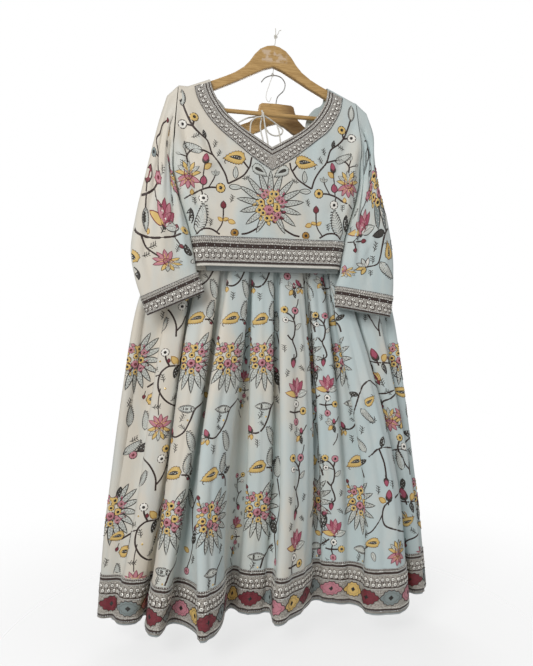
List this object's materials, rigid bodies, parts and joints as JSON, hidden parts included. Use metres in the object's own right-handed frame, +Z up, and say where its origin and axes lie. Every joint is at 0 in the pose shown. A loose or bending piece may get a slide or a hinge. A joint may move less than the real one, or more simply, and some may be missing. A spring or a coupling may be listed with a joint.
{
  "type": "lehenga set on wooden hangers",
  "caption": "Embroidered V-neck blouse and long pleated skirt with woven borders, hung one behind the other on contoured wooden hangers.",
  "frame": {"origin": "top end of the string that the upper hanger hangs by", "axes": "+Z up, +X to the viewer's right along the hanger, -Y the front of the garments"},
  "size_m": [0.7568, 0.2716, 1.2792],
  "materials": {
    "blouse_cloth": "thin satin-faced georgette in cream with soft ice-blue patches",
    "skirt_cloth": "thin satin-faced georgette in ice blue with soft cream patches",
    "border": "woven and sequinned border in taupe, brown and silver",
    "piping": "cream bias piping",
    "facing": "plain grey-blue facing",
    "lining": "pale blue lining, plain",
    "cord": "off-white cord, tape and thread",
    "wood": "varnished tan wood",
    "steel": "bent steel wire"
  },
  "bodies": {
    "root": {"upper_hanger_body": "wood", "upper_hanger_bar": "wood", "lower_hanger_body": "wood", "lower_hanger_hook": "steel", "hanging_string": "cord", "link_thread": "cord", "link_thread_tail": "cord", "hanging_loop_left": "cord", "hanging_loop_right": "cord", "tie_round_bar": "cord", "tie_to_neck": "cord", "tie_loop": "cord", "tie_tail_left": "cord", "tie_tail_middle": "cord", "tie_tail_right": "cord", "tie_tail_end": "cord", "blouse_front": "blouse_cloth", "blouse_back": "blouse_cloth", "sleeve_left": "blouse_cloth", "sleeve_right": "blouse_cloth", "blouse_hem_border_front": "border", "blouse_hem_border_back": "border", "neck_border": "border", "cuff_border_left": "border", "cuff_border_right": "border", "skirt_hem_border_front": "border", "skirt_hem_border_back": "border", "blouse_hem_piping": "piping", "back_hem_facing": "facing", "skirt_waistband": "skirt_cloth", "skirt_front": "skirt_cloth", "skirt_back": "skirt_cloth", "skirt_lining_front": "lining"}
  },
  "joints": []
}
